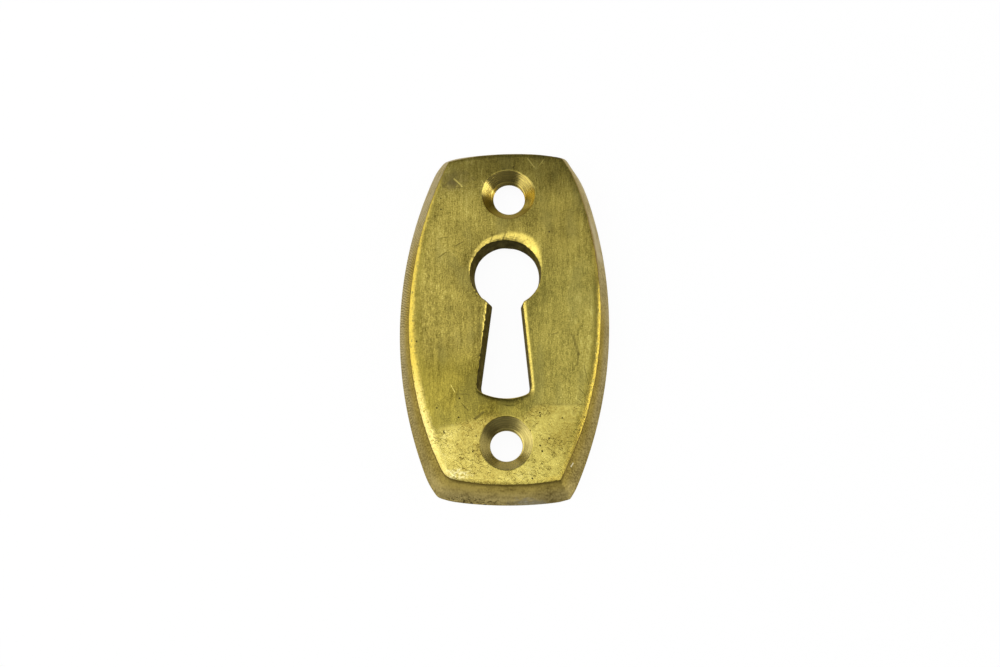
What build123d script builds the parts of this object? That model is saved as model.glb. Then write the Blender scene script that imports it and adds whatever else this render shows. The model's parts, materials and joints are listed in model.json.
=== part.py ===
"""Keyhole escutcheon: a cast brass plate with a barrel outline, bevelled rim and hollow back.

The plate lies on its back rim, with Z = 0 in the plane that meets the wood. +Z comes out of the
front face and +Y points to the round end of the keyhole. All sizes are in millimetres.
"""
import math
import os

from build123d import *

# Rim outline at the back, a barrel with bowed sides and bowed ends
plate_width = 26.0          # across the belly of the sides
plate_length = 46.3         # over the crowns of the two ends
end_width = 16.4            # across the corners of each end
end_rise = 0.75             # how far an end's crown stands out past its corners
top_skew = 0.7              # the top end is filed askew: its right corner is this much higher
corner_r = 0.8              # roundness of the corners, seen from the front
worn_corner_r = 2.4         # the same at the bottom left, which is worn most

# Height and the bevel from the rim up to the face, as widths seen from the front
plate_height = 3.6          # back plane to face
side_bevel = 1.3            # at the belly
top_bevel = 1.25            # at the crown of the top end
foot_bevel = 1.7            # at the crown of the bottom end, filed wider
top_corner_bevel = 0.9      # sideways step from rim corner to face corner at the top
foot_corner_bevel = 1.35    # the same at the bottom
face_edge_r = 0.6           # worn roundness where the bevel meets the face

# Hollow in the back, which leaves a flat rim to sit on the wood
rim_width = 2.4             # rim's flat, all round the outline
face_thickness = 1.9        # metal left between the hollow and the face
hollow_floor_r = 0.6        # cast radius round the hollow's floor

# Keyhole: a round bow over a slot that widens to a curved foot, sized at the face
keyhole_x = 0.2             # its centre line, right of the plate's middle
keyhole_y = -0.2            # its middle, below the plate's middle
keyhole_length = 20.5       # from the top of the bow to the crown of the foot
bow_r = 4.25                # radius of the bow
neck_width = 4.0            # slot width where it leaves the bow
slot_width = 6.6            # slot width at its foot corners
slot_end_rise = 0.9         # how far the curved foot stands out past its corners
neck_r = 0.5                # blend between bow and slot
slot_corner_r = 0.7         # roundness of the foot corners
keyhole_draft = 7.5         # degrees that the walls close in towards the back
lip_r = 0.5                 # roundness of the keyhole's front edge

# Two countersunk holes for wood screws, one at each end
screw_x = 0.35              # line of the holes, right of the plate's middle
screw_inset = 7.05          # from the crown of an end to the centre of its hole
screw_hole_d = 3.9          # clears a 3.5 mm screw
countersink_d = 6.5         # rim of the countersink at the face
countersink_angle = 80.0    # full angle of the cone

cut_margin = 1.0            # how far cutting tools run past the surfaces they cut


def barrel(side=0.0, top=0.0, foot=0.0, top_corner=0.0, foot_corner=0.0):
    """Barrel outline with sharp corners, drawn in from the rim outline by the given plan widths."""
    belly = plate_width / 2 - side
    top_crown = plate_length / 2 - top
    foot_crown = -plate_length / 2 + foot
    top_half = end_width / 2 - top_corner
    foot_half = end_width / 2 - foot_corner
    top_left = (-top_half, top_crown - end_rise - top_skew / 2)
    top_right = (top_half, top_crown - end_rise + top_skew / 2)
    foot_left = (-foot_half, foot_crown + end_rise)
    foot_right = (foot_half, foot_crown + end_rise)
    return make_face([
        ThreePointArc(top_left, (0, top_crown), top_right),
        ThreePointArc(top_right, (belly, 0), foot_right),
        ThreePointArc(foot_right, (0, foot_crown), foot_left),
        ThreePointArc(foot_left, (-belly, 0), top_left),
    ])


def worn(outline):
    """Barrel outline with its corners rounded, the bottom left one most."""
    towards_top_right = Axis((0, 0, 0), (1, 1, 0))
    outline = fillet(outline.vertices().sort_by(towards_top_right)[1:], corner_r)
    return fillet(outline.vertices().sort_by(towards_top_right)[:1], worn_corner_r)


def bevelled_blank():
    """Solid plate: rim outline at the back, smaller face outline in front, face edge worn round."""
    rim = worn(barrel())
    face = worn(barrel(side_bevel, top_bevel, foot_bevel, top_corner_bevel, foot_corner_bevel))
    blank = loft([rim, Pos(0, 0, plate_height) * face], ruled=True)
    face_edges = blank.faces().sort_by(Axis.Z)[-1].edges()
    return fillet(face_edges, face_edge_r)


def back_hollow():
    """Pocket in the back that follows the rim outline, with a cast radius round its floor."""
    depth = plate_height - face_thickness
    outline = offset(barrel(), amount=-rim_width)
    pocket = extrude(outline, amount=depth)
    floor_edges = pocket.faces().sort_by(Axis.Z)[-1].edges()
    pocket = fillet(floor_edges, min(hollow_floor_r, depth / 2))
    mouth = Pos(0, 0, -cut_margin) * extrude(outline, amount=cut_margin)
    return pocket + mouth


def keyhole_outline():
    """Keyhole as it is cut at the face: the bow and the flared slot with its curved foot."""
    bow_y = keyhole_y + keyhole_length / 2 - bow_r
    neck_y = bow_y - math.sqrt(bow_r ** 2 - (neck_width / 2) ** 2)
    slot_crown = keyhole_y - keyhole_length / 2
    slot_foot_y = slot_crown + slot_end_rise
    flare = (slot_width - neck_width) / 2 / (neck_y - slot_foot_y)
    inner_half = neck_width / 2 - flare * (bow_y - neck_y)
    inner_left = (keyhole_x - inner_half, bow_y)
    inner_right = (keyhole_x + inner_half, bow_y)
    foot_left = (keyhole_x - slot_width / 2, slot_foot_y)
    foot_right = (keyhole_x + slot_width / 2, slot_foot_y)
    slot = make_face([
        Line(inner_left, inner_right),
        Line(inner_right, foot_right),
        ThreePointArc(foot_right, (keyhole_x, slot_crown), foot_left),
        Line(foot_left, inner_left),
    ])
    outline = Pos(keyhole_x, bow_y) * Circle(bow_r) + slot
    corners = outline.vertices().sort_by(Axis.Y)
    outline = fillet(corners.filter_by_position(Axis.Y, neck_y - neck_r, neck_y + neck_r), neck_r)
    foot_corners = outline.vertices().sort_by(Axis.Y)[:2]
    return fillet(foot_corners, slot_corner_r)


def keyhole_cut():
    """Drafted cutter that closes in from the face towards the back."""
    outline = keyhole_outline()
    walls = extrude(outline, amount=plate_height, dir=(0, 0, -1), taper=keyhole_draft)
    mouth = extrude(outline, amount=cut_margin)
    return Pos(0, 0, plate_height) * (walls + mouth)


def screw_holes():
    """Both screw holes with their countersinks, as cutters."""
    hole_r = screw_hole_d / 2
    rim_r = countersink_d / 2
    slope = math.tan(math.radians(countersink_angle / 2))
    depth = (rim_r - hole_r) / slope
    bottom = (Align.CENTER, Align.CENTER, Align.MIN)
    shank = Cylinder(hole_r, plate_height + cut_margin, align=bottom)
    cone_top_r = rim_r + cut_margin * slope
    cone = Cone(hole_r, cone_top_r, depth + cut_margin, align=bottom)
    hole = shank + Pos(0, 0, plate_height - depth) * cone
    reach = plate_length / 2 - screw_inset
    return [Pos(screw_x, side * reach, 0) * hole for side in (1, -1)]


def escutcheon_plate():
    """The finished casting."""
    plate = bevelled_blank() - back_hollow() - keyhole_cut()
    face = plate.faces().sort_by(Axis.Z)[-1]
    lip = face.inner_wires()[0].edges()
    plate = fillet(lip, lip_r)
    for hole in screw_holes():
        plate = plate - hole
    plate.label = "escutcheon_plate"
    return plate


os.makedirs("parts", exist_ok=True)
export_step(escutcheon_plate(), "parts/escutcheon_plate.step")
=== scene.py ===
# %% [markdown]
# # Dressing a cast brass keyhole escutcheon
#
# The real object is a small key plate, sand-cast in brass, ground on a belt and then left to dull in
# a drawer for years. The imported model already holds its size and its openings. This lesson builds the
# skin that the eye sees: a crowned face, hand-filed bevels, worn edges and an uneven patina.
# Every surface here is a grid of points worked out with numpy, so each one is a formula to play with.

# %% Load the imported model
import json
import math

import bpy
import numpy as np
from mathutils import Matrix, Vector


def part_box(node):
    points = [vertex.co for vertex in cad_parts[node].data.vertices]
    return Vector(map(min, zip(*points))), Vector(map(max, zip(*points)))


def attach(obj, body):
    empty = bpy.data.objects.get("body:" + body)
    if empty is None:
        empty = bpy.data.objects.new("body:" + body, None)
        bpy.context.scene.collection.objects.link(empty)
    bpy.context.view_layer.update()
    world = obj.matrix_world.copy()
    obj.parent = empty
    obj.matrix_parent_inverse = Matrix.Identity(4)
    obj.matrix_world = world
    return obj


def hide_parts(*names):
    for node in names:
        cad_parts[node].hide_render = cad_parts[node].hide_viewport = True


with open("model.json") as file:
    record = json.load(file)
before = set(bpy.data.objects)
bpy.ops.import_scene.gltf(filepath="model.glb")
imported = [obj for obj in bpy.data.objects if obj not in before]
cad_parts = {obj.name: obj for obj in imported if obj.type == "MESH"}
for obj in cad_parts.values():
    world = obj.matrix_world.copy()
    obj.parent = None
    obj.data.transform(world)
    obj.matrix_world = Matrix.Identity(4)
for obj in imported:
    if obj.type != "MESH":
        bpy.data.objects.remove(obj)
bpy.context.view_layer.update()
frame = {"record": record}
MM = 0.001
NODE = "escutcheon_plate"
plate_low, plate_high = (np.array(corner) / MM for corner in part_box(NODE))
belly = plate_high[0]          # half the plate's width, mm
crown = -plate_low[1]          # from the middle to the crown of the foot end, mm
height = plate_high[2]         # from the back plane to the face, mm
print("plate in mm:", (plate_high - plate_low).round(2))

# %% [markdown]
# ## The barrel outline
#
# Seen from the front the plate is a barrel: two long bowed sides and two short bowed ends, each one a
# circle arc. The same function draws the rim at the back, the edge of the face and the hollow behind,
# each drawn in by its own amounts. All loops have the same number of points in the same order, so a
# point on one loop always knows its partner on the next, and strips between loops need no searching.

# %% Columns of the outline
END_POINTS = 120               # along each end
SHOULDER_POINTS = 84           # along a side, beside a screw hole
WAIST_POINTS = 190             # along a side, beside the keyhole
WAIST = (0.212, 0.785)         # where the waist starts and stops, as shares of the side from the top


def steps(start, stop, count):
    """Evenly spaced values from start up to, but not including, stop."""
    return start + (stop - start) * np.arange(count) / count


def side_shares(waist_start, waist_stop):
    """Shares along a side, evenly spaced within its first shoulder, its waist and its last shoulder."""
    return np.concatenate([steps(0, waist_start, SHOULDER_POINTS),
                           steps(waist_start, waist_stop, WAIST_POINTS),
                           steps(waist_stop, 1, SHOULDER_POINTS)])


END_SHARES = steps(0, 1, END_POINTS)
DOWN_SHARES = side_shares(*WAIST)
UP_SHARES = side_shares(1 - WAIST[1], 1 - WAIST[0])
END_AND_SIDE = [END_POINTS, SHOULDER_POINTS, WAIST_POINTS, SHOULDER_POINTS]
(TOP_LEFT, LEFT_HIGH, LEFT_LOW, FOOT_LEFT,
 FOOT_RIGHT, RIGHT_LOW, RIGHT_HIGH, LOOP) = np.cumsum(END_AND_SIDE * 2).tolist()
CORNERS = np.array([0, TOP_LEFT, FOOT_LEFT, FOOT_RIGHT])
print("outline:", LOOP, "columns, with corners at", CORNERS)

# %% Points of the barrel
END_WIDTH = 16.4               # across the corners of an end
END_RISE = 0.75                # how far an end's crown stands out past its corners
TOP_SKEW = 0.7                 # the top end is filed askew, its right corner higher
RIGHT_SWELL = 0.08             # the right side bows out this much more than the left
FOOT_RIGHT_OUT = 0.25          # and its foot corner stands out this much more


def arc(start, through, end, shares):
    """Circle arc from start through a middle point to end. Its centre is the point equally far from
    all three, and the angle about it runs evenly with the shares."""
    a, b, c = (np.asarray(point, float) for point in (start, through, end))
    centre = np.linalg.solve(2 * np.array([b - a, c - a]), [b @ b - a @ a, c @ c - a @ a])
    first, _, last = np.unwrap([math.atan2(*(point - centre)[::-1]) for point in (a, b, c)])
    angle = first + (last - first) * shares
    return centre + np.hypot(*(a - centre)) * np.stack([np.cos(angle), np.sin(angle)], axis=-1)


def barrel(side=0.0, top=0.0, foot=0.0, top_corner=0.0, foot_corner=0.0):
    """Barrel loop, drawn in from the rim by the given widths. It starts at the top right corner and
    runs anticlockwise: the top end, down the left side, the foot end and up the right side."""
    top_half, foot_half = END_WIDTH / 2 - top_corner, END_WIDTH / 2 - foot_corner
    top_right = (top_half, crown - top - END_RISE + TOP_SKEW / 2)
    top_left = (-top_half, crown - top - END_RISE - TOP_SKEW / 2)
    foot_left = (-foot_half, foot - crown + END_RISE)
    foot_right = (foot_half + FOOT_RIGHT_OUT, foot - crown + END_RISE)
    return np.concatenate([
        arc(top_right, (0, crown - top), top_left, END_SHARES),
        arc(top_left, (side - belly, 0), foot_left, DOWN_SHARES),
        arc(foot_left, (0, foot - crown), foot_right, END_SHARES),
        arc(foot_right, (belly + RIGHT_SWELL - side, 0), top_right, UP_SHARES)])


sharp_rim = barrel()
print("sharp rim:", np.ptp(sharp_rim, axis=0).round(2), "mm wide and long")

# %% [markdown]
# ## Worn corners
#
# No two corners of the plate are worn alike, so one bevel with one radius would not do. A corner is
# first pulled by its own amount, mostly inwards, as a file takes it off. Then it is rubbed: each rub
# moves a point half way to the middle of its neighbours, which does to a sharp bend what sandpaper
# does. The foot's left corner is the roundest of all where it meets the face.

# %% Pull and rub the corners
RUB_REACH = 6                  # columns that one rub reaches on either side of its corner
# Each corner's pull and how far it fades out, in mm: top right, top left, foot left, foot right
RIM_PULLS = [((-0.65, -0.15), 2.8), ((0.30, -0.15), 1.2), ((0.30, 0.15), 1.4), ((-0.10, 0.15), 1.0)]
FACE_PULLS = [((-0.35, 0), 1.6), ((0, 0.09), 3.0), ((0, 0), 1.0), ((0, 0), 1.0)]
RIM_WEAR = (24, 16, 20, 3)     # rubs at the same corners
FACE_WEAR = (8, 3, 130, 1)


def pulled(loop, pulls):
    """Loop whose corners are pulled. Each point moves by each corner's pull times e to the minus the
    square of its distance from that corner over the given reach."""
    moved = loop.copy()
    for corner, (pull, reach) in zip(CORNERS, pulls):
        fade = np.exp(-((loop - loop[corner]) ** 2).sum(axis=1) / reach ** 2)
        moved += np.array(pull) * fade[:, None]
    return moved


def rubbed(loop, rubs):
    """Loop whose corners are rubbed round. One rub moves a point half way to the middle of its two
    neighbours. Each corner takes its own number of rubs, over a reach that grows with their root."""
    rubs = np.array(rubs)[:, None]
    away = np.abs((np.arange(LOOP) - CORNERS[:, None] + LOOP // 2) % LOOP - LOOP // 2)
    due = np.where(away < RUB_REACH * np.sqrt(rubs), rubs, 0).max(axis=0)
    for rub in range(due.max()):
        middle = (np.roll(loop, 1, axis=0) + np.roll(loop, -1, axis=0)) / 2
        loop = loop + 0.5 * (due > rub)[:, None] * (middle - loop)
    return loop


rim_plan = rubbed(pulled(sharp_rim, RIM_PULLS), RIM_WEAR)
rim_girth = np.hypot(*np.diff(rim_plan, axis=0).T).sum()
print("worn rim:", len(rim_plan), "points, girth", rim_girth.round(1), "mm")

# %% [markdown]
# ## The face
#
# A belt-ground face is never flat. The belt rolls over the top end, the foot end was left lower and
# kept its cast skin, and the whole face is a little crowned. Sculpting could do that, but a height
# function says it all at once: give it any x and y and it returns the height there, for every piece
# that has to meet the face. The slow waves stand for the hand that held the casting.

# %% Smooth steps and slow waves
def smooth(value, low, high):
    """Smooth step: t runs from zero at low to one at high and stays there, and three times its square
    less twice its cube starts and ends level."""
    t = np.clip((value - low) / (high - low), 0, 1)
    return t * t * (3 - 2 * t)


def stepped(value, first, *changes):
    """Number that starts at first and takes on each change by a smooth step between its two values."""
    return first + sum(change * smooth(value, start, stop) for change, start, stop in changes)


def waves(x, y, length, seed, count=14):
    """Smooth random field between about -1 and 1: a sum of plane waves whose directions, phases and
    lengths around the given length are drawn from the seed."""
    draw = np.random.default_rng(seed)
    turn, phase = draw.uniform(0, 2 * np.pi, (2, count))
    pace = 2 * np.pi / length / draw.uniform(0.6, 1.6, count)
    crests = np.cos(x[..., None] * pace * np.cos(turn) + y[..., None] * pace * np.sin(turn) + phase)
    return crests.sum(axis=-1) / math.sqrt(2 * count)


print("a smooth step at 0, 1/4, 1/2 and 1:", smooth(np.array([0, 0.25, 0.5, 1]), 0, 1).round(3))

# %% Height of the face
CROWN_ACROSS = 0.0012          # drop per mm squared away from the middle line
ROLL_START = 15.0              # above this the belt rolled over the top end
ROLL = 0.014                   # drop per mm squared past that line
LEFT_ROLL_START = -5.0         # left of this the lower half rolls away to the worn edge
LEFT_ROLL = 0.005              # drop per mm squared past that line
LEFT_ROLL_DOWN = (2, 16)       # mm below the middle where that roll begins and where it is full
FOOT_SLOPE = 0.05              # fall of the cast foot, mm per mm
FOOT_LINE = (-14.9, -13.0, -11.3)        # y where the belt stopped: left, below the keyhole, right
FOOT_STEPS = (-11.0, -0.8), (2.2, 4.2)   # x between which the line climbs from one to the next
FOOT_WANDER = 0.15             # how far the line wanders up and down
WAVE_HEIGHT = 0.006            # of the slow waves


def below_foot_line(x, y):
    """How far a point lies below the stepped line where the belt stopped, in mm."""
    left, middle, right = FOOT_LINE
    line = stepped(x, left, (middle - left, *FOOT_STEPS[0]), (right - middle, *FOOT_STEPS[1]))
    return line + FOOT_WANDER * waves(x, 0 * y, 4, seed=3) - y


def face_height(x, y):
    """Plate height less the crown (square of x), the roll-off at the top (square of the distance past
    its line), the roll-off at the lower left and the cast foot's fall, plus slow waves."""
    roll = np.maximum(y - ROLL_START, 0)
    fall = np.maximum(below_foot_line(x, y), 0)
    left = np.maximum(LEFT_ROLL_START - x, 0) * smooth(-y, *LEFT_ROLL_DOWN)
    drop = CROWN_ACROSS * x ** 2 + ROLL * roll ** 2 + LEFT_ROLL * left ** 2 + FOOT_SLOPE * fall
    return height - drop + WAVE_HEIGHT * waves(x, y, 6, seed=11)


def lifted(plan):
    """Plan points set on the face: x and y as given, z from the face's height."""
    return np.concatenate([plan, face_height(plan[..., :1], plan[..., 1:])], axis=-1)


print("face height at the middle, top and foot:",
      face_height(np.zeros(3), np.array([0, 21, -21])).round(3))

# %% [markdown]
# ## Rim, bevel and worn edge
#
# The band round the plate is a profile carried along the outline. From the face it rolls over the
# worn edge, drops down the filed bevel, turns the bottom edge, crosses the flat of the rim and climbs
# into the hollow at the back. A Bevel modifier would give the same edge everywhere. Here the roll is a
# Bezier curve that leaves the face level and meets the bevel in a crease. The crease comes first: a
# barrel drawn in from the rim, with small nicks, and filed a little wider at the upper left.

# %% Crease between face and bevel
BEVEL = dict(side=1.3, top=1.25, foot=1.88, top_corner=0.9, foot_corner=1.40)
RAGGED = 0.018                 # how far nicks move the crease in and out
LEFT_WIDE = 0.20               # the upper left bevel was filed this much wider


def at_height(plan, z):
    """Plan points at one height, or at one height each."""
    return np.concatenate([plan, np.broadcast_to(z, plan.shape[:-1])[..., None]], axis=-1)


def unit(vectors):
    """The same directions with length one: each vector divided by its length."""
    return vectors / np.linalg.norm(vectors, axis=-1, keepdims=True)


rim = at_height(rim_plan, 0.0)
filed_line = lifted(rubbed(pulled(barrel(**BEVEL), FACE_PULLS), FACE_WEAR))
inward = unit((filed_line - rim) * (1, 1, 0))[:, :2]
filed_x, filed_y = filed_line[:, 0], filed_line[:, 1]
edge_nicks = RAGGED * (waves(filed_x, filed_y, 0.5, seed=31) + waves(filed_x, filed_y, 2.0, seed=32))
filed_wide = LEFT_WIDE * smooth(-filed_x, 3, 8) * smooth(filed_y, -3, 8)
crease = lifted(filed_line[:, :2] + inward * (edge_nicks + filed_wide)[:, None])
slope_dir = unit(rim - crease)
bevel_width = np.linalg.norm(rim - crease, axis=1)
print("bevel:", bevel_width.min().round(2), "to", bevel_width.max().round(2), "mm wide along its slope")

# %% [markdown]
# ## How worn the edge is
#
# Hands and cloths rubbed the real edge unevenly: the right side and the lower left are rolled widest,
# and the upper left least. A weight map could be painted for that. Here the reach of the roll over the
# face and down the bevel is a number for each column, and smooth steps lead it from place to place.

# %% Wear of the edge
edge_x, edge_y = crease[:, 0], crease[:, 1]
on_left, on_right = smooth(-edge_x, 3, 8), smooth(edge_x, 3, 8)
on_end = 1 - on_left - on_right
to_right = smooth(edge_x, 0, 8)
high_up, far_down = smooth(edge_y, 0, 8), smooth(-edge_y, 13, 17)
left_reach = stepped(-edge_y, 0.30, (0.18, -16, -6), (0.24, -6, 2), (0.10, 2, 10), (-0.30, 15, 19))
face_reach = (on_left * left_reach + on_right * (0.80 + 0.20 * high_up)
              + on_end * (0.50 + 0.40 * to_right))
bevel_reach = (on_left * 0.40 * left_reach + on_right * (0.40 - 0.34 * high_up - 0.24 * far_down)
               + on_end * 0.14)
lean_share = 0.40 * on_left + (0.24 + 0.26 * high_up) * on_right + 0.45 * on_end
print("worn edge:", face_reach.min().round(2), "to", face_reach.max().round(2), "mm of the face")

# %% [markdown]
# ## Rows of the band
#
# With the crease and the wear known, each stretch of the profile is a few rows of points. Extra rows
# beside a crease keep it crisp, because smooth shading spreads a bend over a whole row of quads.

# %% Rows of the band
RIM_WIDTH = 2.4                # flat of the rim, round the hollow
HOLLOW_CORNER = 0.72           # sideways share of the rim's width that a corner moves
FACE_THICKNESS = 1.9
HOLLOW_DEPTH = height - FACE_THICKNESS
HOLLOW_FLOOR_R = 0.6
FLOOR_SHARES = np.linspace(0, 1, 4)
BASE_EASE = 0.1                # tiny rounding of the rim's bottom edge
EDGE_SHARES = np.append(np.linspace(0, 0.97, 9), 1)
BEVEL_SHARES = np.append([0.03], np.linspace(0, 1, 8)[1:-1])


def bezier(start, corner, end, shares):
    """Quadratic Bezier rows from start to end that lean towards the corner. A row with share t is start
    times (1 - t) squared, plus corner times 2 t (1 - t), plus end times t squared."""
    t = np.asarray(shares)[:, None, None]
    return (1 - t) ** 2 * start + 2 * t * (1 - t) * corner + t ** 2 * end


face_border = lifted(crease[:, :2] + inward * face_reach[:, None])
roll_corner = lifted(crease[:, :2] + inward * (face_reach * lean_share)[:, None])
bevel_top = crease + slope_dir * bevel_reach[:, None]
bevel_foot = rim - slope_dir * BASE_EASE
edge_rows = bezier(face_border, roll_corner, bevel_top, EDGE_SHARES)
bevel_rows = bevel_top + (bevel_foot - bevel_top) * BEVEL_SHARES[:, None, None]
base_rows = bezier(bevel_foot, rim, rim + np.c_[inward * BASE_EASE, 0 * edge_x], (0, 0.5, 1))
corner_in = HOLLOW_CORNER * RIM_WIDTH
hollow = barrel(RIM_WIDTH, RIM_WIDTH, RIM_WIDTH, corner_in, corner_in)
hollow_wall = at_height(hollow, HOLLOW_DEPTH - HOLLOW_FLOOR_R)
hollow_border = at_height(hollow + inward * HOLLOW_FLOOR_R, HOLLOW_DEPTH)
floor_rows = bezier(hollow_wall, at_height(hollow, HOLLOW_DEPTH), hollow_border, FLOOR_SHARES)
band = np.concatenate([edge_rows, bevel_rows, base_rows, at_height(hollow, 0.0)[None], floor_rows])
print("band rows and columns:", band.shape[:2])

# %% [markdown]
# ## The keyhole's path
#
# The keyhole is a round bow over a slot that widens to a curved foot. A boolean cut would leave long
# thin faces round it. So its path is drawn from arcs and straight lines and then eased with a running
# mean, which rounds the neck and the foot corners as a file would. To join it to the face, points on
# the path are paired with points on the border of the face around it: bow with top, slot sides with
# plate sides, foot with foot.

# %% Sketch of the keyhole
KEYHOLE_X, KEYHOLE_Y, KEYHOLE_LENGTH = 0.26, -0.2, 20.5
BOW_R = 4.25
NECK_WIDTH, SLOT_WIDTH = 4.0, 6.6
SLOT_END_RISE = 0.9            # how far the foot's crown stands out past its corners
BOW_SHARE = 45                 # degrees either side of straight up that pair with the cut above
SKETCH_POINTS = 400            # on each curve of the sketch

bow_y = KEYHOLE_Y + KEYHOLE_LENGTH / 2 - BOW_R
slot_crown = KEYHOLE_Y - KEYHOLE_LENGTH / 2
neck_angle = math.degrees(math.asin(NECK_WIDTH / 2 / BOW_R))


def bow_points(first, last):
    """Points on the bow's circle between two angles, anticlockwise from straight up, in degrees: the
    bow's centre plus its radius times the cosine and the sine."""
    turn = np.radians(90 + np.linspace(first, last, SKETCH_POINTS))
    return np.stack([KEYHOLE_X + BOW_R * np.cos(turn), bow_y + BOW_R * np.sin(turn)], axis=-1)


slot_left_corner = np.array([KEYHOLE_X - SLOT_WIDTH / 2, slot_crown + SLOT_END_RISE])
slot_right_corner = np.array([KEYHOLE_X + SLOT_WIDTH / 2, slot_crown + SLOT_END_RISE])
slot_foot = arc(slot_left_corner, (KEYHOLE_X, slot_crown), slot_right_corner,
                np.linspace(0, 1, SKETCH_POINTS))
sketch = np.concatenate([bow_points(-BOW_SHARE, 180 - neck_angle), slot_foot,
                         bow_points(180 + neck_angle, 360 - BOW_SHARE)])
sketch_run = np.concatenate([[0], np.cumsum(np.hypot(*np.diff(sketch, axis=0).T))])
path_length = sketch_run[-1]
path_bow_left = BOW_R * math.radians(2 * BOW_SHARE)
path_neck_left, path_foot_left = sketch_run[SKETCH_POINTS - 1:SKETCH_POINTS + 1]
path_foot_right, path_neck_right = sketch_run[2 * SKETCH_POINTS - 1:2 * SKETCH_POINTS + 1]
print("keyhole sketch:", len(sketch), "points,", path_length.round(2), "mm round")

# %% Path round the keyhole
PATH_STEP = 0.02
EASE, FOOT_EASE = 0.7, 2.0     # length of the running mean at the neck and at the foot corners, mm


def resampled(points, places):
    """Points at the given distances along an open polyline, on the straight lines between its points."""
    along = np.concatenate([[0], np.cumsum(np.hypot(*np.diff(points, axis=0).T))])
    return np.stack([np.interp(places, along, points[:, axis]) for axis in (0, 1)], axis=-1)


def eased(loop, span):
    """Closed loop with every point replaced by the mean of its neighbours within the span."""
    count = max(1, int(span / PATH_STEP))
    wrapped = np.concatenate([loop[-count:], loop, loop[:count]])
    kernel = np.ones(count) / count
    means = np.stack([np.convolve(wrapped[:, axis], kernel, "same") for axis in (0, 1)], axis=-1)
    return means[count:-count]


raw_path = resampled(sketch, np.arange(0, path_length, PATH_STEP))
low_down = smooth(-raw_path[:, 1:], -slot_crown - 3, -slot_crown - 1.5)
path = (1 - low_down) * eased(raw_path, EASE) + low_down * eased(raw_path, FOOT_EASE)
print("keyhole path: from y", path[:, 1].min().round(2), "to", path[:, 1].max().round(2))

# %% [markdown]
# ## Three rings make the face
#
# The face has three openings, so it is cut into three rings: one round each screw hole and one round
# the keyhole. A ring is a grid whose rows run from the back edge of the opening, up its wall, over its
# lip and out across the face to the ring's border, along straight lines between paired points. Two
# straight cuts across the face are shared by neighbouring rings, so the skin closes without a seam.

# %% Rings and their borders
CUT_POINTS = 130
NECK_LEVEL = 0.42              # share of the waist, from the top, that pairs with the keyhole's neck


def cut(border, start, stop):
    """Straight cut across a border loop from one of its points to another, without the last."""
    return border[start] + (border[stop] - border[start]) * steps(0, 1, CUT_POINTS)[:, None]


def ring_borders(border, on_face):
    """Outer loops of the top, keyhole and foot rings, anticlockwise. Cuts follow the face's height."""
    def line(start, stop):
        points = cut(border, start, stop)
        return lifted(points[:, :2]) if on_face else points
    top = np.concatenate([border[RIGHT_HIGH:], border[:LEFT_HIGH], line(LEFT_HIGH, RIGHT_HIGH)])
    middle = np.concatenate([line(RIGHT_HIGH, LEFT_HIGH), border[LEFT_HIGH:LEFT_LOW],
                             line(LEFT_LOW, RIGHT_LOW), border[RIGHT_LOW:RIGHT_HIGH]])
    foot = np.concatenate([line(RIGHT_LOW, LEFT_LOW), border[LEFT_LOW:RIGHT_LOW]])
    return top, middle, foot


top_border, key_border, foot_border = ring_borders(face_border, on_face=True)
BOW_COLUMNS = int(NECK_LEVEL * WAIST_POINTS)
SLOT_COLUMNS = WAIST_POINTS - BOW_COLUMNS
pair_places = np.concatenate([
    steps(0, path_bow_left, CUT_POINTS),
    steps(path_bow_left, path_neck_left, BOW_COLUMNS),
    steps(path_neck_left, path_foot_left, SLOT_COLUMNS),
    steps(path_foot_left, path_foot_right, CUT_POINTS),
    steps(path_foot_right, path_neck_right, SLOT_COLUMNS),
    steps(path_neck_right, path_length, BOW_COLUMNS)])
keyhole = resampled(np.concatenate([path, path[:1]]), pair_places)
print("keyhole pairs:", len(keyhole), "border:", len(key_border))

# %% [markdown]
# ## Keyhole wall and lip
#
# Years of keys have worn the keyhole's front edge: a broad bright facet at the top right of the bow, a
# narrow one down the right of the slot, and thin ones at the left of the bow and of the neck. At the
# slot's foot it rounds off widely, and its first rows above the wall are painted gold as a glint. The
# wall leans in towards the back, as a casting must to leave its mould. The lip is again a Bezier that
# leaves the face level and ends in a crease at the wall, and its reach over the face changes smoothly
# round the path.

# %% Mouth of the keyhole
LEFT_LEAN = 0.36               # the mouth's left edge stands out this much past the path
TOP_RISE = 0.18                # and its top this much

outward = unit(key_border[:, :2] - keyhole)
key_x, key_y = keyhole[:, 0] - KEYHOLE_X, keyhole[:, 1]
on_bow = smooth(key_y, bow_y - 3.2, bow_y - 1)
at_foot = smooth(-key_y, -slot_crown - 1.6, -slot_crown)
on_slot = (1 - on_bow) * (1 - at_foot)
slot_left = on_slot * smooth(-key_x, 0, 1)
slot_right = on_slot * smooth(key_x, 0, 1)
left_shift = LEFT_LEAN * smooth(-key_x, 0, 2) * smooth(key_y, slot_crown + 0.2, slot_crown + 1.4)
up_shift = TOP_RISE * smooth(key_y, bow_y + 1.5, bow_y + BOW_R)
mouth_nicks = RAGGED * waves(key_x, key_y, 0.6, seed=41) * (2 * on_bow + 3 * slot_left)
mouth = keyhole + np.c_[-left_shift, up_shift] + outward * mouth_nicks[:, None]
print("mouth:", np.ptp(mouth, axis=0).round(2), "mm wide and long")

# %% Wear of the lip
WORN_AT = 0.50                 # where the facet is widest, in radians right of straight up
WORN_SPREAD = (0.80, 0.60)     # how far it spreads to the left and to the right

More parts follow.
